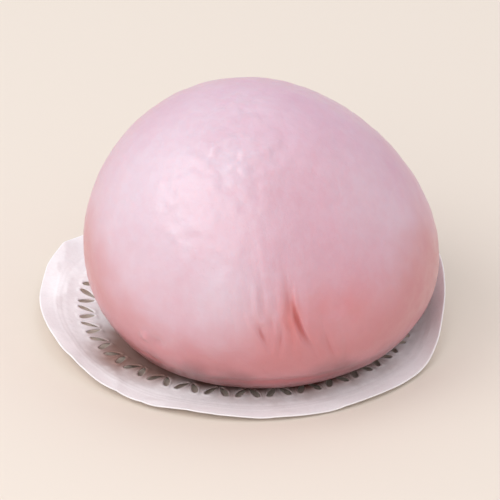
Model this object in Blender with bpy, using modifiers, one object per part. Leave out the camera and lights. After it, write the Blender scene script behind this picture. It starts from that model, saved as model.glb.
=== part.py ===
"""Steamed taro bun on its round lace paper.

The bun is a soft dome of lilac dough: an egg-shaped ball whose underside has sunk flat, leaning
a little to one side, with shallow hollows in its skin and a group of pleats low on the front.
The paper is a thin round doily with slots cut in pairs. It lies flat under the bun, which sits
nearer its front edge, and it is turned up at the right and a little at the left.

The origin is the point of the paper's underside below the middle of the bun. +X is to the right,
+Y to the back and +Z up, all sizes are in metres, and the pleats face -Y.
"""

from math import asin, atan2, cos, exp, hypot, pi, radians, sin

import bmesh
import bpy
from mathutils import Vector

# Driving sizes of the bun
BUN_DIAMETER = 0.066
BALL_HALF_HEIGHT = 0.0285  # of the whole ball, before its underside sinks flat
BASE_DEPTH = 0.0215  # from the ball's middle down to the level where it rests
BASE_ROUNDING = 0.0053  # how softly the side turns under into the base
BASE_FLAT = 0.0005  # taken off the rounded underside, which leaves a flat to rest on
TAPER = 0.126  # how much narrower the top is than the bottom
FULLNESS = 0.043  # how much the top and bottom swell beyond the taper
LEAN = 0.0039  # how far the top leans towards -X
LEAN_POWER = 1.5  # the lean grows with this power of the height
BUN_SEGMENTS = 96
BUN_RINGS = 38
PLEAT_CROWDING = 0.72  # draws the segments together round the pleats

# Lobes of the bun seen from above: how many, the direction of the first, and their share
PLAN_LOBES = ((2, 0.6, 0.005), (3, 1.9, 0.003))

# Driving sizes of the paper
PAPER_RADIUS = 0.0396
PAPER_THICKNESS = 0.0004
PAPER_X = -0.0032  # the paper's own middle, seen from the middle of the bun
PAPER_Y = 0.0062
FLAT_RADIUS = 0.0245  # the bun presses the paper flat inside this
PAPER_LIFT = 4.0  # beyond the flat the paper rises by this times the distance squared, in metres
PAPER_SEGMENTS = 96
INNER_RING = 0.017
OUTER_RINGS = 8
SLOT_PAIRS = 34
SLOT_RING_RADIUS = 0.0306  # from the paper's middle to the middle of the slots
SLOT_LENGTH = 0.0036
SLOT_WIDTH = 0.0013
SLOT_FLARE = 0.25  # how much wider its outer end is than its middle
SLOT_SPLAY = radians(28)  # how far each slot of a pair leans away from the spoke
SLOT_PAIR_SHARE = 0.44  # the distance between the slots of a pair, as a share of a pair's place
SLOT_SIDES = 8
CUTTER_HEIGHT = 0.020

REST_GAP = 0.0003  # between the paper and the bun that lies on it
FRONT = -pi / 2  # the direction of -Y
LEAST_MERGE = 0.00002

# Broad shallow hollows of the skin: azimuth from the front, height, half width, half height, depth
HOLLOWS = (
    (radians(26), 0.031, 0.0055, 0.014, 0.00055),
    (radians(62), 0.036, 0.0110, 0.012, 0.00060),
    (radians(-48), 0.030, 0.0110, 0.012, 0.00030),
    (radians(170), 0.027, 0.0140, 0.012, 0.00060),
    (radians(122), 0.014, 0.0080, 0.008, 0.00045),
)
CALM_RADIUS = 0.006  # the hollows fade out nearer the middle of the top than this

# Pleats at the front: azimuth from the front, tilt, lowest, highest, half width, depth
PLEATS = (
    (radians(12.9), 0.19, 0.0090, 0.0265, 0.00100, 0.00120),
    (radians(7.6), -0.14, 0.0065, 0.0215, 0.00095, 0.00065),
    (radians(3.4), 0.05, 0.0100, 0.0280, 0.00100, 0.00045),
    (radians(-0.2), 0.22, 0.0095, 0.0225, 0.00095, 0.00075),
    (radians(17.5), 0.10, 0.0080, 0.0200, 0.00110, 0.00045),
)
PLEAT_MIDDLE = radians(8)
PLEAT_MIDDLE_HEIGHT = 0.018
PLEAT_FADE = 0.8  # how quickly a pleat deepens from its ends

# Folds of skin along the foot: azimuth from the front, half length as an angle, height, depth
FOOT_FOLDS = (
    (radians(8), radians(30), 0.0052, 0.00045),
    (radians(-120), radians(26), 0.0048, 0.00035),
    (radians(150), radians(34), 0.0056, 0.00040),
)
FOOT_FOLD_HALF_WIDTH = 0.0012

# Where the paper is turned up: direction, distance to the start, how far it turns, bend radius
PAPER_FOLDS = (
    (radians(8), 0.0245, radians(50), 0.0085),
    (radians(184), 0.0300, radians(16), 0.0200),
)

# Waves of the lift: how many, the direction of the first as an angle, and their share of the lift
PAPER_WAVES = ((3, 2.2, 0.35), (7, 2.1, 0.35), (11, 4.0, 0.25))

DOUGH_COLOUR = (0.730, 0.480, 0.590, 1.0)
PAPER_COLOUR = (0.870, 0.840, 0.860, 1.0)


def clear_scene():
    for obj in list(bpy.data.objects):
        bpy.data.objects.remove(obj, do_unlink=True)


def make_collection(name):
    collection = bpy.data.collections.new(name)
    bpy.context.scene.collection.children.link(collection)
    return collection


def make_material(name, colour, roughness):
    material = bpy.data.materials.new(name)
    material.use_nodes = True
    shader = material.node_tree.nodes["Principled BSDF"]
    shader.inputs["Base Color"].default_value = colour
    shader.inputs["Roughness"].default_value = roughness
    shader.inputs["Metallic"].default_value = 0.0
    material.diffuse_color = colour
    return material


def move_to(obj, collection):
    for other in list(obj.users_collection):
        other.objects.unlink(obj)
    collection.objects.link(obj)


def turned(angle, reference):
    """The angle from reference to angle, between -pi and pi."""
    return (angle - reference + pi) % (2 * pi) - pi


def bell(distance, half_width):
    """1 at the middle, falling smoothly to nearly 0 beyond two half widths."""
    return exp(-((distance / half_width) ** 2))


def egg_profile(latitude):
    """Radius and height of the egg-shaped ball at a latitude, its underside softly sunk flat."""
    rise = sin(latitude)
    radius = cos(latitude) * (1 - TAPER * rise + FULLNESS * rise * rise)
    height = BALL_HALF_HEIGHT * rise + BASE_DEPTH
    return radius, (height + hypot(height, BASE_ROUNDING)) / 2


def widest_ratio():
    """The largest radius of the egg profile before it is scaled to the bun's diameter."""
    steps = 400
    return max(egg_profile(pi * (step / steps - 0.5))[0] for step in range(steps + 1))


def skin_inset(azimuth, radius, height):
    """How far the hollows, pleats and foot folds draw the skin in at a place on the side."""
    inset = 0.0
    for middle, level, half_width, half_height, depth in HOLLOWS:
        across = turned(azimuth, FRONT + middle) * radius
        inset += depth * bell(across, half_width) * bell(height - level, half_height)
    for middle, tilt, lowest, highest, half_width, depth in PLEATS:
        along = (height - lowest) / (highest - lowest)
        if 0 < along < 1:
            line = turned(azimuth, FRONT + middle) * radius
            line += tilt * (height - PLEAT_MIDDLE_HEIGHT)
            inset += depth * bell(line, half_width) * sin(pi * along) ** PLEAT_FADE
    for middle, half_length, level, depth in FOOT_FOLDS:
        away = turned(azimuth, FRONT + middle)
        inset += depth * bell(away, half_length) * bell(height - level, FOOT_FOLD_HALF_WIDTH)
    return inset * min(radius / CALM_RADIUS, 1.0)


def plan_factor(azimuth):
    """The bun isn't quite round from above: a slight oval with a slight third lobe."""
    return 1 + sum(share * cos(count * (azimuth - first)) for count, first, share in PLAN_LOBES)


def make_bun(collection, material):
    """A sphere primitive whose points are carried to the leaning, sunken egg shape."""
    bpy.ops.mesh.primitive_uv_sphere_add(segments=BUN_SEGMENTS, ring_count=BUN_RINGS, radius=1)
    bun = bpy.context.object
    bun.name = "bun"
    move_to(bun, collection)
    scale = BUN_DIAMETER / 2 / widest_ratio()
    lowest = egg_profile(-pi / 2)[1] + BASE_FLAT
    tallest = egg_profile(pi / 2)[1] - lowest
    crowded = FRONT + PLEAT_MIDDLE
    for vertex in bun.data.vertices:
        x, y, z = vertex.co
        longitude = atan2(y, x)
        azimuth = longitude - PLEAT_CROWDING * sin(longitude - crowded)
        radius, height = egg_profile(asin(max(-1.0, min(1.0, z))))
        radius *= scale * plan_factor(azimuth)
        height = max(height - lowest, 0.0)
        if height > 0:
            radius -= skin_inset(azimuth, radius, height)
        lean = LEAN * (height / tallest) ** LEAN_POWER
        vertex.co = (radius * cos(azimuth) - lean, radius * sin(azimuth), height)
    bun.data.materials.append(material)
    bun.data.shade_smooth()
    bun.location = (0, 0, PAPER_THICKNESS + REST_GAP)
    return bun


def lifted(x, y):
    """How high the waves of the paper carry a point of it, beyond where the bun presses it flat."""
    azimuth = atan2(y, x)
    beyond = max(hypot(x, y) - FLAT_RADIUS, 0.0)
    waves = sum(share * sin(count * azimuth + first) for count, first, share in PAPER_WAVES)
    return PAPER_LIFT * (1 + waves) * beyond**2


def turned_up(x, y):
    """A point of the flat paper, carried round its folds. Each is a round bend, then straight."""
    point = Vector((x, y, lifted(x, y)))
    for direction, start, most, bend_radius in PAPER_FOLDS:
        beyond = x * cos(direction) + y * sin(direction) - start
        if beyond > 0:
            turn = min(beyond / bend_radius, most)
            straight = beyond - bend_radius * turn
            out = bend_radius * sin(turn) + straight * cos(turn) - beyond
            up = bend_radius * (1 - cos(turn)) + straight * sin(turn)
            point += Vector((out * cos(direction), out * sin(direction), up))
    return point


def make_flat_sheet(collection):
    """A spoke of points turned about the Z axis by a Screw, which gives a round sheet."""
    mesh = bpy.data.meshes.new("paper_spoke")
    step = (PAPER_RADIUS - INNER_RING) / OUTER_RINGS
    radii = [0.0] + [INNER_RING + step * ring for ring in range(OUTER_RINGS + 1)]
    points = [(radius, 0, 0) for radius in radii]
    mesh.from_pydata(points, [(i, i + 1) for i in range(len(points) - 1)], [])
    spoke = bpy.data.objects.new("paper_spoke", mesh)
    collection.objects.link(spoke)
    screw = spoke.modifiers.new("turn", "SCREW")
    screw.steps = screw.render_steps = PAPER_SEGMENTS
    screw.use_merge_vertices = True
    screw.merge_threshold = LEAST_MERGE
    bpy.context.view_layer.update()
    evaluated = spoke.evaluated_get(bpy.context.evaluated_depsgraph_get())
    flat = bpy.data.meshes.new_from_object(evaluated)
    bpy.data.objects.remove(spoke, do_unlink=True)
    return flat


def slot_outline():
    """A rounded slot about the origin, its length along Y, a little wider at its outer end."""
    outline = []
    for side in range(SLOT_SIDES):
        turn = 2 * pi * (side + 0.5) / SLOT_SIDES
        half_width = SLOT_WIDTH / 2 * (1 + SLOT_FLARE * sin(turn))
        outline.append((half_width * cos(turn), SLOT_LENGTH / 2 * sin(turn)))
    return outline


def add_prism(bm, outline, place, turn):
    """An upright prism of an outline, turned about Z and set at a place."""
    rings = []
    for level in (-CUTTER_HEIGHT / 2, CUTTER_HEIGHT / 2):
        ring = []
        for x, y in outline:
            across = x * cos(turn) - y * sin(turn)
            along = x * sin(turn) + y * cos(turn)
            ring.append(bm.verts.new((place[0] + across, place[1] + along, level)))
        rings.append(ring)
    lower, upper = rings
    bm.faces.new(list(reversed(lower)))
    bm.faces.new(upper)
    for i in range(len(outline)):
        j = (i + 1) % len(outline)
        bm.faces.new((lower[i], lower[j], upper[j], upper[i]))


def make_lace_cutter(collection):
    """One prism for each slot. The two of a pair lean apart like a V, open outwards."""
    bm = bmesh.new()
    for pair in range(SLOT_PAIRS):
        for side in (-1, 1):
            azimuth = 2 * pi * (pair + 0.5 + side * SLOT_PAIR_SHARE / 2) / SLOT_PAIRS
            place = (SLOT_RING_RADIUS * cos(azimuth), SLOT_RING_RADIUS * sin(azimuth))
            add_prism(bm, slot_outline(), place, azimuth - pi / 2 + side * SLOT_SPLAY)
    mesh = bpy.data.meshes.new("lace_cutter")
    bm.to_mesh(mesh)
    bm.free()
    cutter = bpy.data.objects.new("lace_cutter", mesh)
    cutter.hide_render = True
    cutter.display_type = "WIRE"
    collection.objects.link(cutter)
    return cutter


def apply_modifiers(obj):
    """Makes the evaluated mesh the object's own."""
    bpy.context.view_layer.update()
    evaluated = obj.evaluated_get(bpy.context.evaluated_depsgraph_get())
    made = bpy.data.meshes.new_from_object(evaluated)
    obj.modifiers.clear()
    obj.data = made


def make_paper(collection, cutters, material):
    """The lace paper: a flat sheet given its thickness, cut with slots, then turned up."""
    paper = bpy.data.objects.new("lace_paper", make_flat_sheet(collection))
    collection.objects.link(paper)
    bm = bmesh.new()
    bm.from_mesh(paper.data)
    bmesh.ops.recalc_face_normals(bm, faces=bm.faces)
    if sum(face.normal.z for face in bm.faces) < 0:
        bmesh.ops.reverse_faces(bm, faces=bm.faces)
    bm.to_mesh(paper.data)
    bm.free()
    wall = paper.modifiers.new("thickness", "SOLIDIFY")
    wall.thickness = PAPER_THICKNESS
    wall.offset = 1.0
    cut = paper.modifiers.new("lace", "BOOLEAN")
    cut.operation = "DIFFERENCE"
    cut.object = make_lace_cutter(cutters)
    apply_modifiers(paper)
    for vertex in paper.data.vertices:
        x, y, z = vertex.co
        vertex.co = turned_up(x + PAPER_X, y + PAPER_Y) + Vector((0, 0, z))
    paper.data.materials.clear()
    paper.data.materials.append(material)
    paper.data.shade_smooth()
    paper.data.set_sharp_from_angle(angle=radians(35))
    return paper


def main():
    clear_scene()
    parts = make_collection("taro_bun")
    cutters = make_collection("cutters")
    make_bun(parts, make_material("lilac_dough", DOUGH_COLOUR, 0.42))
    make_paper(parts, cutters, make_material("white_paper", PAPER_COLOUR, 0.75))


main()
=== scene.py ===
import bpy
import numpy as np
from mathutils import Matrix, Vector


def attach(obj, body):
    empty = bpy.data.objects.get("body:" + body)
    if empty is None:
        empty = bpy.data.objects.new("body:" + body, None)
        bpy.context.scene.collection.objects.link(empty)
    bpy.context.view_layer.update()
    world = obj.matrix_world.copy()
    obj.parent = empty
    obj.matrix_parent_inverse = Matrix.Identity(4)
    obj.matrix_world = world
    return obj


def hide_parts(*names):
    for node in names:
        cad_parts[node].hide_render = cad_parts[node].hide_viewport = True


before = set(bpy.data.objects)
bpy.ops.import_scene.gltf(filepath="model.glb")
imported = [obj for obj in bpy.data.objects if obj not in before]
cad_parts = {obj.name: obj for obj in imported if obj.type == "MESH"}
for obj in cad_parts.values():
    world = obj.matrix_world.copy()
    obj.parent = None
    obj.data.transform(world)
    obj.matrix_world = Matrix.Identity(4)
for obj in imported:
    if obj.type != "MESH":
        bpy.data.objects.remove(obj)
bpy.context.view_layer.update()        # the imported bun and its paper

# A steamed taro bun on its lace paper. Metres, +Z up, the pleats face -Y.
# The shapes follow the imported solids. What is added here is finer: skin, pleats, lace and finishes.

front = -np.pi / 2       # the direction of -Y
print("frame loaded:", ", ".join(sorted(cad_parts)))


# 1 at the middle, falling smoothly to nearly 0 beyond two half widths: exp(-(distance / half width)^2).
def bell(distance, halfWidth):
    return np.exp(-(distance / halfWidth) ** 2)


# The angle from the reference to the angle, between -pi and pi.
def turned(angle, reference):
    return (angle - reference + np.pi) % (2 * np.pi) - np.pi


# 0 below low, 1 above high, and 3t^2 - 2t^3 between them.
def smoothStep(value, low, high):
    share = np.clip((value - low) / (high - low), 0, 1)
    return share * share * (3 - 2 * share)


# A fixed number from -1 to 1 for every whole lattice point, from mixed integer products.
def latticeValue(cell, seed):
    mixed = (cell[..., 0] * 374761393 + cell[..., 1] * 668265263
             + cell[..., 2] * 1103515245 + seed * 1274126177) & 0xffffffff
    mixed = ((mixed ^ (mixed >> 13)) * 1274126177) & 0xffffffff
    return ((mixed ^ (mixed >> 16)) & 0xffffff) / 0x7fffff - 1


# Smooth noise from -1 to 1 over points in space: the eight lattice values round each point,
# blended by 6t^5 - 15t^4 + 10t^3 along each axis.
def smoothNoise(points, size, seed):
    place = points / size + 1000    # so that no cell's number is below 0
    cell = np.floor(place).astype(np.int64)
    part = place - cell
    blend = part ** 3 * (part * (part * 6 - 15) + 10)
    total = np.zeros(points.shape[:-1])
    for corner in np.ndindex(2, 2, 2):
        corner = np.array(corner)
        weight = np.where(corner == 1, blend, 1 - blend).prod(axis=-1)
        total += weight * latticeValue(cell + corner, seed)
    return total


# Quads between neighbouring rows and columns of a grid whose last column joins the first.
def ringQuads(rows, columns):
    row, column = np.meshgrid(np.arange(rows - 1), np.arange(columns), indexing="ij")
    following = (column + 1) % columns
    corners = (row * columns + column, row * columns + following,
               (row + 1) * columns + following, (row + 1) * columns + column)
    return np.stack(corners, axis=-1).reshape(-1, 4)


# Triangles from a ring of points, given in order, to one point in its middle.
def fanTriangles(ring, middle):
    return np.stack((ring, np.roll(ring, -1), np.full(len(ring), middle)), axis=-1)


def makePiece(name, points, faces, material):
    mesh = bpy.data.meshes.new(name)
    mesh.from_pydata(points.tolist(), [], faces)
    mesh.update()
    mesh.materials.append(material)
    mesh.shade_smooth()
    piece = bpy.data.objects.new(name, mesh)
    bpy.context.scene.collection.objects.link(piece)
    return piece


# A number for every point of a piece, which its material reads by name.
def storeValues(piece, name, values):
    attribute = piece.data.attributes.new(name, "FLOAT", "POINT")
    attribute.data.foreach_set("value", np.asarray(values, np.float32).ravel())


# Materials: small helpers that add one node each and return its output.
def newMaterial(name):
    material = bpy.data.materials.new(name)
    material.use_nodes = True
    return material, material.node_tree, material.node_tree.nodes["Principled BSDF"]


def addNode(tree, kind, x, y, **settings):
    node = tree.nodes.new(kind)
    node.location = (x, y)
    for key, value in settings.items():
        setattr(node, key, value)
    return node


def setInputs(node, **values):
    for key, value in values.items():
        node.inputs[key.replace("_", " ")].default_value = value


# Noise on the piece's own coordinates; grain is the size of its lumps in metres.
def addNoise(tree, place, grain, x, y, detail=2.0, roughness=0.5, distortion=0.0):
    noise = addNode(tree, "ShaderNodeTexNoise", x, y)
    setInputs(noise, Scale=1 / grain, Detail=detail, Roughness=roughness, Distortion=distortion)
    tree.links.new(place, noise.inputs["Vector"])
    return noise.outputs["Fac"]


def addRange(tree, value, low, high, toLow, toHigh, x, y):
    node = addNode(tree, "ShaderNodeMapRange", x, y, interpolation_type="SMOOTHSTEP")
    setInputs(node, From_Min=low, From_Max=high, To_Min=toLow, To_Max=toHigh)
    tree.links.new(value, node.inputs["Value"])
    return node.outputs["Result"]


def addMath(tree, operation, first, second, x, y):
    node = addNode(tree, "ShaderNodeMath", x, y, operation=operation)
    for socket, value in zip(node.inputs, (first, second)):
        if isinstance(value, (int, float)):
            socket.default_value = value
        else:
            tree.links.new(value, socket)
    return node.outputs[0]


# Mixes two colours by a factor; each may be a colour or the output of a node.
def addMix(tree, factor, first, second, x, y):
    node = addNode(tree, "ShaderNodeMix", x, y, data_type="RGBA")
    tree.links.new(factor, node.inputs[0])
    for socket, value in ((node.inputs[6], first), (node.inputs[7], second)):
        if isinstance(value, tuple):
            socket.default_value = (*value, 1)
        else:
            tree.links.new(value, socket)
    return node.outputs[2]


def addBump(tree, height, strength, distance, x, y, before=None):
    node = addNode(tree, "ShaderNodeBump", x, y)
    setInputs(node, Strength=strength, Distance=distance)
    tree.links.new(height, node.inputs["Height"])
    if before is not None:
        tree.links.new(before, node.inputs["Normal"])
    return node.outputs["Normal"]


def addAttribute(tree, name, x, y):
    return addNode(tree, "ShaderNodeAttribute", x, y, attribute_name=name).outputs["Fac"]


# The bun. Azimuths are in degrees from the front, and grow to the right.
dough = {
    "diameter": 0.066,
    "ballHalfHeight": 0.0285,    # of the whole ball, before its underside sinks flat
    "baseDepth": 0.0215,         # from the ball's middle down to where it rests
    "baseRounding": 0.0053,      # how softly the side turns under
    "baseFlat": 0.0005,          # the foot is cut flat this far above its lowest point
    "taper": 0.126,              # how much narrower the top is than the bottom
    "fullness": 0.043,           # how much fuller both are than the middle
    "lean": 0.0039,              # how far the top leans to the left
    "leanPower": 1.5,
    "lobes": ((2, 0.6, 0.005), (3, 1.9, 0.003)),    # how many, direction of the first, share
    "restHeight": 0.0007,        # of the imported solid's underside
    "settle": 0.0003,            # the foot sinks this far, onto the paper
    "settleHeight": 0.0040,
    "profileSteps": 400,         # places where the profile's width is measured
    "columns": 460,
    "footRows": 18,
    "skinRows": 182,
    "footLatitude": np.radians(-50),
    "crowding": 0.66,            # draws the columns together round the pleats
    "pleatMiddle": np.radians(8),
    "pleatMiddleHeight": 0.018,
    "calmRadius": 0.006,         # creases fade out nearer the middle of the top than this
    # azimuth, height, half width, half height, depth
    "hollows": ((26, 0.031, 0.0055, 0.014, 0.00055), (62, 0.036, 0.0110, 0.012, 0.00060),
                (-48, 0.030, 0.0110, 0.012, 0.00030), (170, 0.027, 0.0140, 0.012, 0.00060),
                (122, 0.014, 0.0080, 0.008, 0.00045), (4, 0.0160, 0.0050, 0.0060, 0.00030)),
    # azimuth, tilt, bow, lowest, highest, half widths to its left and right, depth; a ridge has less than 0
    "pleats": ((13.7, 0.30, -21, 0.0108, 0.0278, 0.00078, 0.00040, 0.00064),
               (17.4, 0.24, -14, 0.0100, 0.0290, 0.00170, 0.00170, -0.00022),
               (9.4, 0.14, -8, 0.0140, 0.0225, 0.00050, 0.00060, 0.00020),
               (6.6, -0.10, 0, 0.0115, 0.0205, 0.00055, 0.00045, 0.00024),
               (3.3, 0.10, 0, 0.0120, 0.0195, 0.00050, 0.00050, -0.00020),
               (0.2, 0.38, 20, 0.0132, 0.0212, 0.00040, 0.00080, 0.00042),
               (-1.6, 0.30, 0, 0.0160, 0.0225, 0.00060, 0.00050, -0.00016),
               (20.8, 0.20, -8, 0.0065, 0.0200, 0.00100, 0.00050, 0.00026),
               (26.5, 0.20, 0, 0.0060, 0.0170, 0.00100, 0.00070, 0.00014)),
    "pleatFade": 1.0,            # how softly a pleat ends
    "fullCrease": 0.00070,       # a pleat this deep takes the whole painted crease shade
    "rippleCrease": 0.35,        # the shares of it that ripples and foot folds take
    "foldCrease": 0.5,
    "wander": 0.00030,           # how far noise moves a pleat sideways, and over what height
    "wanderHeight": 0.0034,
    # upright ripples: azimuth, height, half width, half height, size across, times taller, depth
    "ripples": (5.6, 0.0240, 0.0056, 0.0082, 0.0012, 5.0, 0.00030),
    "crumple": (0.0015, 0.00016),    # size and height of the crinkles between the pleats
    # rough skin: azimuth, height, half width, half height, share
    "roughness": ((-6, 0.0448, 0.0095, 0.0055, 0.92), (-30, 0.0370, 0.0095, 0.0090, 0.42),
                  (140, 0.0400, 0.0120, 0.0090, 0.60)),
    "roughGrain": (0.0019, 0.00029),    # its size and height
    # redder skin round the pleats, painted shade on the pleats' walls and painted warm reflected light:
    # azimuth, height, half width, half height, share
    "paintedPleatShades": ((10.8, 0.0195, 0.0026, 0.0060, 0.82), (3.5, 0.0165, 0.0070, 0.0065, 0.36),
                (26, 0.0200, 0.0100, 0.0065, 0.56)),
    # paler skin, a painted highlight and sheen where the light falls: azimuth, height, half width, half
    # height, share
    "paintedHighlights": ((-48, 0.0370, 0.0205, 0.0170, 1.00), (-14, 0.0260, 0.0075, 0.0120, 0.90),
                (-16, 0.0440, 0.0080, 0.0050, 1.00), (62, 0.0345, 0.0080, 0.0090, 0.40),
                (170, 0.0320, 0.0200, 0.0150, 0.60)),
    # where the rosy foot, with its painted shade and painted warm reflected light, reaches higher: azimuth,
    # half width in degrees, how much higher
    "paintedLightLifts": ((-88, 36, 0.0130), (14, 15, 0.0060), (72, 36, 0.0125), (180, 60, 0.0030)),
    # azimuth, half length, height, half height, depth
    "footFolds": ((8, 30, 0.0052, 0.0010, 0.00055), (-120, 26, 0.0048, 0.0011, 0.00040),
                  (150, 34, 0.0056, 0.0011, 0.00045), (-44, 16, 0.0068, 0.0008, 0.00016),
                  (62, 20, 0.0062, 0.0008, 0.00022)),
    "reliefLevels": (0.0006, 0.0040),    # the fine relief sets in between these heights,
    "topBumpLevels": (0.030, 0.038),     # and the swellings on the top between these
    # x and y of a small swelling on the top, its half width, height
    "topBumps": ((-0.0094, -0.0126, 0.00090, 0.00028), (-0.0070, -0.0070, 0.00110, 0.00016),
                 (-0.0092, -0.0094, 0.00120, 0.00010), (-0.0066, -0.0110, 0.00100, 0.00018),
                 (-0.0044, -0.0086, 0.00120, 0.00014), (-0.0030, -0.0116, 0.00110, 0.00017),
                 (-0.0012, -0.0146, 0.00120, 0.00012), (-0.0062, -0.0168, 0.00120, 0.00017),
                 (-0.0040, -0.0142, 0.00100, 0.00016), (-0.0018, -0.0064, 0.00130, 0.00012),
                 (0.0016, -0.0098, 0.00140, 0.00010), (-0.0082, -0.0150, 0.00100, 0.00013)),
    # azimuth, height, half width, height of the swelling; a dimple has less than 0
    "sideBumps": ((-41.6, 0.0134, 0.00100, 0.00052), (-36.2, 0.0132, 0.00105, -0.00044),
                  (-29.5, 0.0166, 0.00100, 0.00010), (-1.4, 0.0205, 0.00060, 0.00016),
                  (96, 0.0190, 0.00110, 0.00012), (-142, 0.0220, 0.00120, 0.00011),
                  (171, 0.0150, 0.00090, 0.00014)),
    # size of the lumps, height of the swelling
    "unevenness": ((0.0170, 0.00018), (0.0070, 0.00008), (0.0028, 0.000065), (0.0014, 0.000030)),
}


# Egg profile: radius = cos(latitude) * (1 - taper * rise + fullness * rise^2) with rise = sin(latitude);
# height = (h + sqrt(h^2 + rounding^2)) / 2 with h = halfHeight * rise + baseDepth, so the base is soft.
def eggProfile(latitude):
    rise = np.sin(latitude)
    radius = np.cos(latitude) * (1 - dough["taper"] * rise + dough["fullness"] * rise ** 2)
    height = dough["ballHalfHeight"] * rise + dough["baseDepth"]
    return radius, (height + np.hypot(height, dough["baseRounding"])) / 2


# Not quite round from above: 1 + the sum of share * cos(count * (azimuth - first)).
def planFactor(azimuth):
    return 1 + sum(share * np.cos(count * (azimuth - first)) for count, first, share in dough["lobes"])


# Distance to the right of an azimuth, along a ring of the skin.
def skinAcross(azimuth, middle, radius):
    return turned(azimuth, front + np.radians(middle)) * radius


# How far hollows, pleats and foot folds draw the skin in, and how much painted crease shade they get. A pleat
# is a bell across its line, wider on one side; the line leans by its tilt, bends by its bow * rise^2 and
# wanders a little, and the pleat deepens and fades along it as a half sine to a power. Between the pleats the
# skin ripples by noise drawn out upright.
def skinInset(azimuth, radius, height):
    inset = np.zeros_like(radius)
    crease = np.zeros_like(radius)
    for middle, level, halfWidth, halfHeight, depth in dough["hollows"]:
        near = bell(skinAcross(azimuth, middle, radius), halfWidth) * bell(height - level, halfHeight)
        inset += depth * near
    rise = height - dough["pleatMiddleHeight"]
    upright = np.stack((0 * height, 0 * height, height), axis=-1)
    for seed, pleat in enumerate(dough["pleats"]):
        middle, tilt, bow, lowest, highest, leftWidth, rightWidth, depth = pleat
        line = skinAcross(azimuth, middle, radius) + tilt * rise + bow * rise ** 2
        line += dough["wander"] * smoothNoise(upright, dough["wanderHeight"], seed)
        along = np.clip((height - lowest) / (highest - lowest), 0, 1)
        fade = np.sin(np.pi * along) ** dough["pleatFade"]
        groove = bell(line, np.where(line < 0, leftWidth, rightWidth)) * fade
        inset += depth * groove
        crease = np.maximum(crease, groove ** 3 * min(depth / dough["fullCrease"], 1))
    middle, level, halfWidth, halfHeight, size, stretch, depth = dough["ripples"]
    across = skinAcross(azimuth, middle, radius)
    near = bell(across, halfWidth) * bell(height - level, halfHeight)
    drawnOut = np.stack((across, 0 * across, height / stretch), axis=-1)
    ripple = near * smoothNoise(drawnOut, size, seed=3)
    inset += depth * ripple
    crease = np.maximum(crease, dough["rippleCrease"] * ripple)
    for middle, halfLength, level, halfHeight, depth in dough["footFolds"]:
        away = turned(azimuth, front + np.radians(middle))
        groove = bell(away, np.radians(halfLength)) * bell(height - level, halfHeight)
        inset += depth * groove
        crease = np.maximum(crease, dough["foldCrease"] * groove)
    return inset * np.minimum(radius / dough["calmRadius"], 1), crease


# How strongly shade and reflected light round the pleats, or a highlight, are painted on the skin, or how
# rough it is: the strongest of a few bells over azimuth and height.
def skinPatches(patches, azimuth, radius, height):
    strength = np.zeros_like(radius)
    for middle, level, halfWidth, halfHeight, share in patches:
        near = bell(skinAcross(azimuth, middle, radius), halfWidth) * bell(height - level, halfHeight)
        strength = np.maximum(strength, share * near)
    return strength


# The bun's skin over longitude and latitude: the egg profile scaled to the diameter, pressed in by its
# folds, and leaning left by lean * (height / tallest)^power.
def bunSkin(longitude, latitude):
    steps = np.linspace(-np.pi / 2, np.pi / 2, dough["profileSteps"])
    scale = dough["diameter"] / 2 / eggProfile(steps)[0].max()
    lowest = eggProfile(-np.pi / 2)[1] + dough["baseFlat"]
    tallest = eggProfile(np.pi / 2)[1] - lowest
    azimuth = longitude - dough["crowding"] * np.sin(longitude - front - dough["pleatMiddle"])
    radius, height = eggProfile(latitude)
    radius = radius * scale * planFactor(azimuth)
    height = np.maximum(height - lowest, 0)
    inset, crease = skinInset(azimuth, radius, height)
    # redder round the pleats: painted shade on their walls and painted warm reflected light
    paintedPleatShade = skinPatches(dough["paintedPleatShades"], azimuth, radius, height)
    # paler skin where the light falls: painted highlight and sheen
    paintedHighlight = skinPatches(dough["paintedHighlights"], azimuth, radius, height)
    rough = skinPatches(dough["roughness"], azimuth, radius, height)
    # the foot's painted shade and warm reflected light reach higher at these sides
    lifts = [most * bell(turned(azimuth, front + np.radians(middle)), np.radians(halfWidth))
             for middle, halfWidth, most in dough["paintedLightLifts"]]
    footLevel = height - np.max(lifts, axis=0)
    radius = radius - inset * (height > 0)
    lean = dough["lean"] * (height / tallest) ** dough["leanPower"]
    level = height + dough["restHeight"] - dough["settle"] * bell(height, dough["settleHeight"])
    points = np.stack((radius * np.cos(azimuth) - lean, radius * np.sin(azimuth), level), axis=-1)
    tones = {"crease": crease, "paintedPleatShade": paintedPleatShade, "paintedHighlight": paintedHighlight, "rough": rough, "footLevel": footLevel}
    return points, tones


# Outward direction at each point of a grid: the cross product of its column and row steps.
def gridNormals(points):
    alongRow = np.roll(points, -1, axis=1) - np.roll(points, 1, axis=1)
    alongColumn = np.gradient(points, axis=0)
    normals = np.cross(alongRow, alongColumn)
    return normals / (np.linalg.norm(normals, axis=-1, keepdims=True) + 1e-12)


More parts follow.
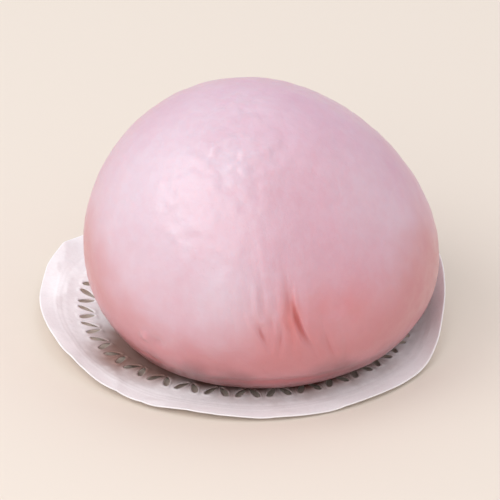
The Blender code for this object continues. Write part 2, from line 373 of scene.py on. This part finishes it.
# Height of the fine relief: soft noise of several sizes, crinkles where the pleats' shade and reflected light
# are painted, grain where it is rough, and a few round swellings and a dimple.
def skinRelief(points, tones):
    size, height = dough["crumple"]
    relief = height * tones["paintedPleatShade"] * smoothNoise(points, size, seed=5)
    size, height = dough["roughGrain"]
    relief += height * tones["rough"] * smoothNoise(points, size, seed=7)
    for seed, (size, height) in enumerate(dough["unevenness"], start=11):
        relief += height * smoothNoise(points, size, seed)
    upper = smoothStep(points[..., 2], *dough["topBumpLevels"])
    for x, y, halfWidth, height in dough["topBumps"]:
        away = np.hypot(points[..., 0] - x, points[..., 1] - y)
        relief += height * bell(away, halfWidth) * upper
    azimuth = np.arctan2(points[..., 1], points[..., 0])
    distance = np.hypot(points[..., 0], points[..., 1])
    for middle, level, halfWidth, height in dough["sideBumps"]:
        across = skinAcross(azimuth, middle, distance)
        relief += height * bell(np.hypot(across, points[..., 2] - level), halfWidth)
    return relief


# The closed skin: rings from the foot to the top, moved outwards by the relief, and a point at each pole.
def makeBun(material):
    longitude = np.linspace(0, 2 * np.pi, dough["columns"], endpoint=False)
    foot = np.linspace(-np.pi / 2, dough["footLatitude"], dough["footRows"], endpoint=False)
    skin = np.linspace(dough["footLatitude"], np.pi / 2, dough["skinRows"])
    latitude = np.concatenate((foot, skin))
    grid, tones = bunSkin(*np.meshgrid(longitude, latitude[1:-1]))
    relief = skinRelief(grid, tones) * smoothStep(grid[..., 2], *dough["reliefLevels"])
    grid = grid + gridNormals(grid) * relief[..., None]
    rows, columns = grid.shape[:2]
    bottom = bunSkin(np.zeros(1), latitude[:1])[0]
    top = bunSkin(np.zeros(1), latitude[-1:])[0]
    top[:, 2] += relief[-1].mean()
    points = np.concatenate((grid.reshape(-1, 3), bottom, top))
    ring = np.arange(columns)
    faces = ringQuads(rows, columns).tolist()
    faces += fanTriangles(ring[::-1], rows * columns).tolist()
    faces += fanTriangles(ring + (rows - 1) * columns, rows * columns + 1).tolist()
    bun = makePiece("taro_bun", points, faces, material)
    for name, values in tones.items():
        storeValues(bun, name, np.concatenate((values.ravel(), (values[0].mean(), values[-1].mean()))))
    return bun


# Steamed dough: lilac, mottled, with a satin skin. Its colour carries painted light: a paler painted
# highlight and sheen, violet towards the back for painted cool light, a rosier foot that is partly the
# dough's own colour and partly painted shade and warm reflected light, painted shade and reflected light
# round the pleats, painted shade in their creases, and painted contact shade along the lowest rim.
def makeDoughMaterial():
    finish = {
        "lilac": (0.630, 0.315, 0.392),
        # pale: random clouds and speckles, and the painted highlight and sheen
        "pale": (0.695, 0.530, 0.612),
        # violet towards the back: painted cool light from above and behind
        "paintedCoolViolet": (0.562, 0.236, 0.386),
        # rosy foot: partly the dough's own colour, partly painted shade and warm reflected light
        "rosyAndPaintedShade": (0.570, 0.208, 0.236),
        # redder round the pleats: painted shade on their walls and painted warm reflected light
        "paintedPleatRed": (0.640, 0.165, 0.165),
        # painted contact shade along the lowest rim of the foot
        "paintedFootShade": (0.190, 0.038, 0.040),
        # dark red in the creases: painted shade
        "paintedCreaseShade": (0.480, 0.048, 0.046),
        # sizes of the pale clouds and speckles, and of the lumps that break up the foot's colours
        "cloudSize": 0.016,
        "speckleSize": 0.0022,
        "lumpSize": 0.009,
        # shares of the pale colour, least and most, and its share where the highlight is painted
        "cloudShares": (0.08, 0.25),
        "speckleShares": (0.02, 0.12),
        "paintedHighlightShare": 0.75,
        "paintedCoolVioletPlaces": (-0.018, 0.006),    # the lilac turns violet from the first to the second, along Y: painted cool light from above and behind
        "paintedCoolVioletShare": 0.75,
        "footWander": 0.0020,               # how far the foot's colours rise and fall
        "rosyAndPaintedShadeLevels": (0.0060, 0.0200),     # the rosy foot, partly the dough's own colour and partly painted shade and warm reflected light, fades out between these heights, and the painted contact shade along its lowest rim between these
        "paintedFootShadeLevels": (0.0032, 0.0108),     # and its deep rim between these
        "paintedPleatShadeShares": (0.55, 1.25),        # of the painted pleat shade and reflected light, least and most
        "paintedCreaseShadeShare": 0.85,
        "skinRoughness": (0.40, 0.52),      # least and most
        # sizes of the finest grain, of pores, and of coarse grain on rough skin; each bump's strength, height
        "grainSize": 0.00075,
        "poreSize": 0.0011,
        "coarseSize": 0.0022,
        "grainBump": (0.25, 0.00012),
        "poreBump": (0.20, 0.00008),
        "coarseBump": (0.90, 0.00045),
    }
    material, tree, shader = newMaterial("lilac_dough")
    place = addNode(tree, "ShaderNodeTexCoord", -1500, 0).outputs["Object"]
    clouds = addNoise(tree, place, finish["cloudSize"], -1300, 300, detail=3)
    speckles = addNoise(tree, place, finish["speckleSize"], -1300, 80, detail=3, roughness=0.6)
    lumps = addNoise(tree, place, finish["lumpSize"], -1300, -420, detail=2)
    cloudy = addRange(tree, clouds, 0.35, 0.65, *finish["cloudShares"], -1080, 300)
    speckled = addRange(tree, speckles, 0.40, 0.62, *finish["speckleShares"], -1080, 80)
    broken = addMath(tree, "ADD", cloudy, speckled, -940, 250)
    # paler skin where the light falls: painted highlight and sheen
    paintedHighlight = addAttribute(tree, "paintedHighlight", -1080, 480)
    patched = addMath(tree, "MULTIPLY", paintedHighlight, finish["paintedHighlightShare"], -940, 450)
    paler = addMath(tree, "ADD", broken, patched, -800, 350)
    parts = addNode(tree, "ShaderNodeSeparateXYZ", -1080, 640)
    tree.links.new(place, parts.inputs[0])
    depth = parts.outputs["Y"]
    # violet towards the back: painted cool light from above and behind
    further = addRange(tree, depth, *finish["paintedCoolVioletPlaces"], 0.0, finish["paintedCoolVioletShare"], -880, 640)
    cooler = addMix(tree, further, finish["lilac"], finish["paintedCoolViolet"], -700, 520)
    skin = addMix(tree, paler, cooler, finish["pale"], -620, 250)
    swing = finish["footWander"]
    wander = addRange(tree, lumps, 0.25, 0.75, -swing, swing, -1080, -420)
    shifted = addMath(tree, "ADD", addAttribute(tree, "footLevel", -1080, -250), wander, -880, -300)
    # rosy foot: partly the dough's own colour, partly painted shade and warm reflected light
    low = addRange(tree, shifted, *finish["rosyAndPaintedShadeLevels"], 1.0, 0.0, -680, -100)
    patchy = addRange(tree, lumps, 0.30, 0.60, *finish["paintedPleatShadeShares"], -880, -520)
    # redder round the pleats: painted shade on their walls and painted warm reflected light
    paintedPleatShade = addMath(tree, "MULTIPLY", addAttribute(tree, "paintedPleatShade", -880, -640), patchy, -680, -560)
    lowSkin = addMix(tree, low, skin, finish["rosyAndPaintedShade"], -540, 150)
    pleatShadedSkin = addMix(tree, paintedPleatShade, lowSkin, finish["paintedPleatRed"], -420, 150)
    aboveFloor = addMath(tree, "ADD", parts.outputs["Z"], wander, -680, 20)
    # darker along the lowest rim: painted contact shade
    lowest = addRange(tree, aboveFloor, *finish["paintedFootShadeLevels"], 1.0, 0.0, -460, -100)
    contactShadedSkin = addMix(tree, lowest, pleatShadedSkin, finish["paintedFootShade"], -300, 150)
    # dark red in the creases: painted shade
    crease = addAttribute(tree, "crease", -680, -340)
    paintedCreaseShade = addRange(tree, crease, 0.05, 0.90, 0.0, finish["paintedCreaseShadeShare"], -460, -260)
    colour = addMix(tree, paintedCreaseShade, contactShadedSkin, finish["paintedCreaseShade"], -140, 100)
    tree.links.new(colour, shader.inputs["Base Color"])
    roughness = addRange(tree, speckles, 0.35, 0.65, *finish["skinRoughness"], -460, -500)
    tree.links.new(roughness, shader.inputs["Roughness"])
    grain = addNoise(tree, place, finish["grainSize"], -900, -700, detail=2)
    pores = addNode(tree, "ShaderNodeTexVoronoi", -900, -950)
    setInputs(pores, Scale=1 / finish["poreSize"], Randomness=1.0)
    tree.links.new(place, pores.inputs["Vector"])
    pitted = addRange(tree, pores.outputs["Distance"], 0.0, 0.30, 0.0, 1.0, -680, -950)
    coarse = addNoise(tree, place, finish["coarseSize"], -900, -1180, detail=1)
    patchyGrain = addMath(tree, "MULTIPLY", coarse, addAttribute(tree, "rough", -900, -1400), -680, -1180)
    skinNormal = addBump(tree, grain, *finish["grainBump"], -460, -750)
    skinNormal = addBump(tree, pitted, *finish["poreBump"], -240, -800, skinNormal)
    skinNormal = addBump(tree, patchyGrain, *finish["coarseBump"], -20, -850, skinNormal)
    tree.links.new(skinNormal, shader.inputs["Normal"])
    setInputs(shader, Subsurface_Weight=0.40, Subsurface_Scale=0.0035, Coat_Weight=0.75,
              Coat_Roughness=0.31, IOR=1.60, Specular_IOR_Level=0.62)
    shader.inputs["Subsurface Radius"].default_value = (1.0, 0.42, 0.36)
    return material


bun = makeBun(makeDoughMaterial())
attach(bun, "root")
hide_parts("bun")
print("bun made:", len(bun.data.polygons), "faces")


# The lace paper. Its folds turn it up at the right edge and a little at the left.
lace = {
    "radius": 0.0396,
    "thickness": 0.00022,
    "x": -0.0032,                # the paper's own middle, seen from the middle of the bun
    "y": 0.0062,
    "middleHeight": 0.00024,     # of the sheet's middle layer where it lies flat
    "flatRadius": 0.0245,        # the bun presses the paper flat inside this
    "lift": 4.0,                 # beyond the flat it rises by this times the distance squared
    "waves": ((3, 2.2, 0.35), (7, 2.1, 0.35), (11, 4.0, 0.25)),
    # direction, distance to the start, how far it turns, bend radius
    "folds": ((np.radians(8), 0.0245, np.radians(50), 0.0085),
              (np.radians(184), 0.0300, np.radians(16), 0.0200)),
    # size and height of the crumpled folds beyond the flat
    "wrinkles": ((0.0110, 0.00070), (0.0042, 0.00030)),
    "pairs": 34,                 # of slots
    "pairShare": 0.44,           # the two of a pair lie this share of a pair's width apart
    "slotRing": 0.0306,          # the slots' middles lie on this radius,
    "slotInner": 0.0279,         # and their cells between these two
    "slotOuter": 0.0334,
    "slotLength": 0.0036,
    "slotWidth": 0.0013,
    "slotFlare": 0.25,           # how much wider a slot is at its outer end
    "slotSplay": np.radians(28),    # how far it leans from its spoke
    "stepsPerCell": 6,           # along each side of a slot's cell
    "slotRows": (0, 0.10, 0.24, 0.42, 0.68, 1),    # shares of the way from a slot to its cell's border
    "centreRows": 18,
    "borderRows": 25,
    "firstRing": 0.0006,         # the innermost ring of points
    "joinDistance": 1e-7,        # points of the sheet nearer than this become one
    "slopeStep": 1e-5,           # how far apart the sheet's slope is measured
    "slotLift": 0.00050,         # the sheet bulges up this far along the ring of slots
    "slotLiftHalfWidth": 0.0034,
    "rimHeight": 0.00014,        # of the raised rim round a slot
    "rimShare": 0.22,            # its place between the slot and its cell's border, and its half width
    "rimHalfWidth": 0.18,
    "lineHeight": 0.00006,       # of the raised rings
    "lines": (0.0357, 0.0364),
    "lineHalfWidth": 0.00024,
    "beads": 102,
    "beadRing": 0.0345,
    "beadHeight": 0.00010,
    "beadHalfWidth": 0.00050,
    # where the painted shade near the bun reaches further out: direction, half width, how much further
    "paintedShadeSide": (np.radians(202), np.radians(24), 0.0085),
}


# How high the waves carry a point of the paper: lift * (1 + sum of share * sin(count * azimuth + first))
# * (distance beyond the flat)^2.
def paperLift(x, y):
    azimuth = np.arctan2(y, x)
    beyond = np.maximum(np.hypot(x, y) - lace["flatRadius"], 0)
    waves = sum(share * np.sin(count * azimuth + first) for count, first, share in lace["waves"])
    return lace["lift"] * (1 + waves) * beyond ** 2


# The flat paper carried round its folds. Each is a round bend of its radius, then straight.
def foldedPaper(x, y):
    points = np.stack((x, y, paperLift(x, y)), axis=-1)
    for direction, start, most, bendRadius in lace["folds"]:
        along = np.array((np.cos(direction), np.sin(direction)))
        beyond = np.maximum(x * along[0] + y * along[1] - start, 0)
        turn = np.minimum(beyond / bendRadius, most)
        straight = beyond - bendRadius * turn
        out = bendRadius * np.sin(turn) + straight * np.cos(turn) - beyond
        up = bendRadius * (1 - np.cos(turn)) + straight * np.sin(turn)
        points += np.stack((out * along[0], out * along[1], up), axis=-1)
    return points


# A ring of the sheet between two radii, on columns that every ring shares.
def ringGrid(inner, outer, rows, columns):
    radius = np.linspace(inner, outer, rows)
    azimuth = np.arange(columns) * 2 * np.pi / columns
    radius, azimuth = np.meshgrid(radius, azimuth, indexing="ij")
    flat = np.stack((radius * np.cos(azimuth), radius * np.sin(azimuth)), axis=-1).reshape(-1, 2)
    return flat, ringQuads(rows, columns)[:, ::-1], np.ones(len(flat))


# Outlines of the slots, which lie in pairs that lean apart like a V, open outwards. Each is
# -half width * (1 + flare * sin t) * cos t across and half length * sin t along, turned by the splay
# from its spoke, for angles t whose four quarters face the four sides of the slot's cell.
def slotOutlines(azimuth, side, along):
    turn = np.concatenate([np.pi / 4 * (start + 2 * along) for start in (-3, -1, 1, 3)])
    across = -lace["slotWidth"] / 2 * (1 + lace["slotFlare"] * np.sin(turn)) * np.cos(turn)
    length = lace["slotLength"] / 2 * np.sin(turn)
    lean = (azimuth - np.pi / 2 + side * lace["slotSplay"])[:, None]
    x = across * np.cos(lean) - length * np.sin(lean) + lace["slotRing"] * np.cos(azimuth)[:, None]
    y = across * np.sin(lean) + length * np.cos(lean) + lace["slotRing"] * np.sin(azimuth)[:, None]
    return np.stack((x, y), axis=-1)


# The ring of cells with a slot in each. Rows run from the slot's outline to the cell's border, a
# piece of the ring: point = (1 - s) * outline + s * border for each s in the shares.
def slotCells():
    pair, side = np.meshgrid(np.arange(lace["pairs"]), (-1, 1), indexing="ij")
    pair, side = pair.ravel(), side.ravel()
    middle = 2 * np.pi * (pair + 0.5 + side * lace["pairShare"] / 2) / lace["pairs"]
    first = 2 * np.pi * (pair + (side > 0) * 0.5) / lace["pairs"]
    along = np.arange(lace["stepsPerCell"]) / lace["stepsPerCell"]
    turnShare = np.concatenate((along, along ** 0, 1 - along, 0 * along))
    riseShare = np.concatenate((0 * along, along, along ** 0, 1 - along))
    azimuth = first[:, None] + np.pi / lace["pairs"] * turnShare
    radius = lace["slotInner"] + (lace["slotOuter"] - lace["slotInner"]) * riseShare
    border = np.stack((radius * np.cos(azimuth), radius * np.sin(azimuth)), axis=-1)
    share = np.array(lace["slotRows"])[None, :, None, None]
    flat = (1 - share) * slotOutlines(middle, side, along)[:, None] + share * border[:, None]
    cells, rows, columns = flat.shape[:3]
    quads = ringQuads(rows, columns)[None] + np.arange(cells)[:, None, None] * rows * columns
    shareOfPoint = np.broadcast_to(share, (cells, rows, columns, 1)).reshape(-1)
    return flat.reshape(-1, 2), quads.reshape(-1, 4), shareOfPoint


# Joins the sheet's rings: points at the same place become one, found by rounding their places.
def joinSheets(sheets):
    flat = np.concatenate([points for points, quads, share in sheets])
    share = np.concatenate([share for points, quads, share in sheets])
    starts = np.cumsum([0] + [len(points) for points, quads, share in sheets[:-1]])
    quads = np.concatenate([quads + start for (points, quads, share), start in zip(sheets, starts)])
    key = np.round(flat / lace["joinDistance"]).astype(np.int64)
    first, index = np.unique(key, axis=0, return_index=True, return_inverse=True)[1:]
    return flat[first], share[first], index.reshape(-1)[quads]


# Height of the sheet's relief at a place: a low bulge along the slots, rings, beads and rims.
def pressedRelief(flat, share):
    radius = np.hypot(flat[:, 0], flat[:, 1])
    azimuth = np.arctan2(flat[:, 1], flat[:, 0])
    relief = lace["slotLift"] * bell(radius - lace["slotRing"], lace["slotLiftHalfWidth"])
    relief += lace["rimHeight"] * bell(share - lace["rimShare"], lace["rimHalfWidth"]) * (share < 1)
    for ring in lace["lines"]:
        relief += lace["lineHeight"] * bell(radius - ring, lace["lineHalfWidth"])
    pitch = 2 * np.pi / lace["beads"]
    away = np.hypot(((azimuth / pitch) % 1 - 0.5) * pitch * lace["beadRing"], radius - lace["beadRing"])
    return relief + lace["beadHeight"] * bell(away, lace["beadHalfWidth"])


# The sheet: flat rings and cells are joined, carried round the folds, raised by the pressed relief along
# their slope, crumpled beyond the flat by height * (1 - |noise|), and given a wall's thickness.
def makePaper(material):
    columns = 2 * lace["pairs"] * lace["stepsPerCell"]
    centre = ringGrid(lace["firstRing"], lace["slotInner"], lace["centreRows"], columns)
    border = ringGrid(lace["slotOuter"], lace["radius"], lace["borderRows"], columns)
    flat, share, quads = joinSheets([centre, slotCells(), border])
    x, y = flat[:, 0] + lace["x"], flat[:, 1] + lace["y"]
    points = foldedPaper(x, y)
    step = lace["slopeStep"]
    slope = np.cross(foldedPaper(x + step, y) - points, foldedPaper(x, y + step) - points)
    slope /= np.linalg.norm(slope, axis=-1, keepdims=True)
    points += slope * pressedRelief(flat, share)[:, None]
    distance = np.hypot(x, y)
    free = smoothStep(distance, lace["flatRadius"], lace["radius"])
    flatPoints = np.stack((x, y, 0 * x), axis=-1)
    for seed, (size, height) in enumerate(lace["wrinkles"], start=31):
        points[:, 2] += free * height * (1 - np.abs(smoothNoise(flatPoints, size, seed)))
    points[:, 2] += lace["middleHeight"]
    around = np.nonzero(np.isclose(np.hypot(flat[:, 0], flat[:, 1]), lace["firstRing"]))[0]
    order = around[np.argsort(np.arctan2(flat[around, 1], flat[around, 0]))]
    middle = points[order].mean(axis=0, keepdims=True)
    faces = quads.tolist() + fanTriangles(order, len(points)).tolist()
    paper = makePiece("lace_sheet", np.concatenate((points, middle)), faces, material)
    # the painted shade reaches further out on this side
    direction, halfWidth, most = lace["paintedShadeSide"]
    reach = most * bell(turned(np.arctan2(y, x), direction), halfWidth)
    storeValues(paper, "fromBun", np.append(distance, 0))
    storeValues(paper, "paintedShadeReach", np.append(reach, 0))
    wall = paper.modifiers.new("thickness", "SOLIDIFY")
    wall.thickness = lace["thickness"]
    wall.offset = 0
    return paper


# Lace paper: white and matte, with pressed fibre grain, with painted brown shade nearer the bun, and a
# dark painted contact shadow where it meets it.
def makePaperMaterial():
    finish = {
        "white": (0.960, 0.915, 0.930),
        "fibre": (0.910, 0.860, 0.875),
        # painted brown shade near and under the bun
        "paintedShade": (0.345, 0.203, 0.172),
        # dark painted contact shadow where the paper meets the bun
        "paintedContactShadow": (0.190, 0.050, 0.035),
        "fibreSize": 0.0012,
        "fibreShare": 0.6,
        "patchSize": 0.006,             # of the patches that break up the edge of the painted shade, and how far they shift it
        "patchWander": 0.0012,          # and how far they shift it
        # the painted shade and the painted contact shadow fade out between these distances from the bun's
        # middle
        "paintedShadeFade": (0.0215, 0.0295),
        "paintedContactShadowFade": (0.0215, 0.0246),
        "paintedContactShadowShare": 0.3,             # of the painted shade's further reach, for the painted contact shadow
        # size of the pressed grain, its bump's strength and height
        "crepeSize": 0.0005,
        "crepeBump": (0.35, 0.00008),
    }
    material, tree, shader = newMaterial("white_paper")
    place = addNode(tree, "ShaderNodeTexCoord", -1300, 0).outputs["Object"]
    fibres = addNoise(tree, place, finish["fibreSize"], -1080, 200, detail=4, roughness=0.65, distortion=1.5)
    patches = addNoise(tree, place, finish["patchSize"], -1080, -50, detail=2)
    threads = addRange(tree, fibres, 0.42, 0.66, 0.0, finish["fibreShare"], -860, 200)
    sheet = addMix(tree, threads, finish["white"], finish["fibre"], -640, 200)
    swing = finish["patchWander"]
    wander = addRange(tree, patches, 0.25, 0.75, -swing, swing, -860, -60)
    fromBun = addMath(tree, "ADD", addAttribute(tree, "fromBun", -1080, -280), wander, -860, -220)
    reach = addAttribute(tree, "paintedShadeReach", -1080, -620)
    paintedShadeDistance = addMath(tree, "SUBTRACT", fromBun, reach, -640, -60)
    # browner near the bun: painted shade
    paintedShade = addRange(tree, paintedShadeDistance, *finish["paintedShadeFade"], 1.0, 0.0, -440, -60)
    paintedShadeSheet = addMix(tree, paintedShade, sheet, finish["paintedShade"], -300, 150)
    paintedContactShadowReach = addMath(tree, "MULTIPLY", reach, finish["paintedContactShadowShare"], -860, -620)
    paintedContactShadowDistance = addMath(tree, "SUBTRACT", fromBun, paintedContactShadowReach, -640, -260)
    # dark painted contact shadow where the paper meets the bun
    paintedContactShadow = addRange(tree, paintedContactShadowDistance, *finish["paintedContactShadowFade"], 1.0, 0.0, -440, -260)
    colour = addMix(tree, paintedContactShadow, paintedShadeSheet, finish["paintedContactShadow"], -140, 150)
    tree.links.new(colour, shader.inputs["Base Color"])
    crepe = addNoise(tree, place, finish["crepeSize"], -860, -480, detail=3)
    tree.links.new(addBump(tree, crepe, *finish["crepeBump"], -440, -420), shader.inputs["Normal"])
    setInputs(shader, Roughness=0.78, Subsurface_Weight=0.15, Subsurface_Scale=0.0008)
    shader.inputs["Subsurface Radius"].default_value = (1.0, 0.9, 0.85)
    return material


paper = makePaper(makePaperMaterial())
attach(paper, "root")
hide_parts("lace_paper")
print("paper made:", len(paper.data.polygons), "faces")


# Floor, light and camera. Azimuths and elevations are in degrees, seen from the target.
studio = {
    "floorSize": 6.0,
    "floorColour": (0.77, 0.68, 0.595),
    "skyColour": (0.97, 0.98, 1.0),
    "skyStrength": 0.85,
    # azimuth, elevation, distance, width, power, colour
    "key": (-76, 48, 0.80, 0.60, 1.70, (1.0, 1.0, 1.0)),
    "front": (-26, 42, 0.80, 0.60, 1.40, (1.0, 1.0, 1.0)),
    "top": (150, 66, 0.80, 0.60, 0.50, (0.80, 0.84, 1.0)),
    "target": (-0.0028, 0.0, 0.0172),
    "elevation": 30.3,
    "distance": 1.40,
    "pixelsPerMetre": 5350,      # at the target, in a picture 500 pixels wide
    "pictureWidth": 500,
    "sensorWidth": 36.0,
    "clip": (0.05, 20.0),        # nearest and furthest distance that the camera sees
}


def makeFloor():
    half = studio["floorSize"] / 2
    points = np.array(((-half, -half, 0), (half, -half, 0), (half, half, 0), (-half, half, 0)))
    material, tree, shader = newMaterial("pale_floor")
    setInputs(shader, Base_Color=(*studio["floorColour"], 1), Roughness=0.85)
    makePiece("floor", points, [(0, 1, 2, 3)], material)


# Sets a camera or lamp at an azimuth, elevation and distance from the target, facing it.
def placeRound(name, data, azimuth, elevation, distance):
    turn, rise = np.radians(azimuth), np.radians(elevation)
    out = Vector((np.sin(turn) * np.cos(rise), -np.cos(turn) * np.cos(rise), np.sin(rise)))
    thing = bpy.data.objects.new(name, data)
    thing.location = Vector(studio["target"]) + distance * out
    thing.rotation_euler = (-out).to_track_quat("-Z", "Y").to_euler()
    bpy.context.scene.collection.objects.link(thing)
    return thing


def makeLight(name):
    azimuth, elevation, distance, width, power, colour = studio[name]
    light = bpy.data.lights.new(name, "AREA")
    light.shape = "DISK"
    light.size = width
    light.energy = power
    light.color = colour
    placeRound(name, light, azimuth, elevation, distance)


def makeCamera():
    camera = bpy.data.cameras.new("camera")
    camera.sensor_width = studio["sensorWidth"]
    picture = studio["pictureWidth"] / studio["pixelsPerMetre"]
    camera.lens = studio["sensorWidth"] * studio["distance"] / picture
    camera.clip_start, camera.clip_end = studio["clip"]
    bpy.context.scene.camera = placeRound("camera", camera, 0, studio["elevation"], studio["distance"])


def makeSky():
    sky = bpy.data.worlds.new("sky")
    sky.use_nodes = True
    background = sky.node_tree.nodes["Background"]
    background.inputs["Color"].default_value = (*studio["skyColour"], 1)
    background.inputs["Strength"].default_value = studio["skyStrength"]
    bpy.context.scene.world = sky


makeFloor()
makeSky()
for name in ("key", "front", "top"):
    makeLight(name)
makeCamera()
bpy.context.scene.view_settings.view_transform = "Standard"
print("floor, lights and camera made")
